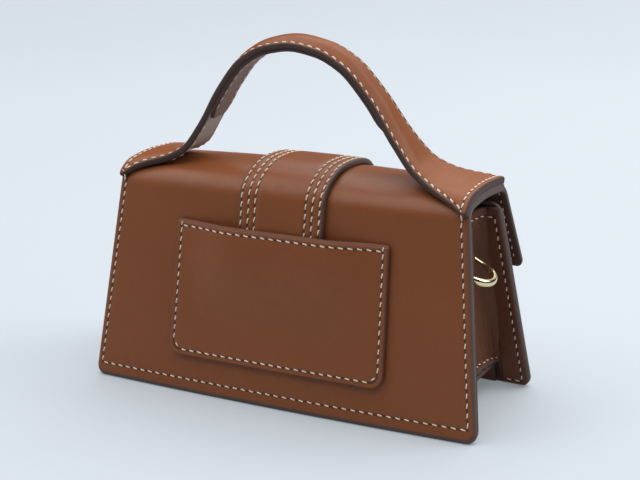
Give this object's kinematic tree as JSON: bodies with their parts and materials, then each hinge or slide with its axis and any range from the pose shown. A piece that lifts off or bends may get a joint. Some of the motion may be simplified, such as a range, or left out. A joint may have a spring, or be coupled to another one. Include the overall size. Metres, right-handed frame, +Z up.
{
  "type": "handbag",
  "caption": "Small structured leather handbag with a flap, an arched top handle, a slip pocket on the back and a ring on each gusset.",
  "frame": {"origin": "on the floor, at the centre of the bag's bounds", "axes": "+Z up, +X to the right as seen from the front, -Y towards the flap, +Y towards the slip pocket on the back"},
  "size_m": [0.1788, 0.0754, 0.1518],
  "materials": {
    "tan_leather": "smooth tan leather with painted edges",
    "dark_leather": "softer tan leather in shade",
    "brass": "polished pale gold"
  },
  "bodies": {
    "bag": {"body_shell": "tan_leather", "front_panel": "tan_leather", "base_panel": "dark_leather", "back_pocket": "tan_leather", "centre_strap": "tan_leather", "handle": "tan_leather", "handle_grip": "dark_leather", "magnetic_snap": "brass", "gusset_left": "dark_leather", "ring_tab_left": "dark_leather", "gusset_right": "dark_leather", "ring_tab_right": "dark_leather"},
    "ring_left": {"d_ring_left": "brass"},
    "ring_right": {"d_ring_right": "brass"}
  },
  "joints": [
    {"name": "ring_left_swing", "type": "hinge", "parent": "bag", "child": "ring_left", "pos_m": [-0.071, 0.00375, 0.0638], "axis": [0, 1, 0], "range_deg": [-33, 85]},
    {"name": "ring_right_swing", "type": "hinge", "parent": "bag", "child": "ring_right", "pos_m": [0.071, 0.00375, 0.0638], "axis": [0, -1, 0], "range_deg": [-33, 85]}
  ]
}
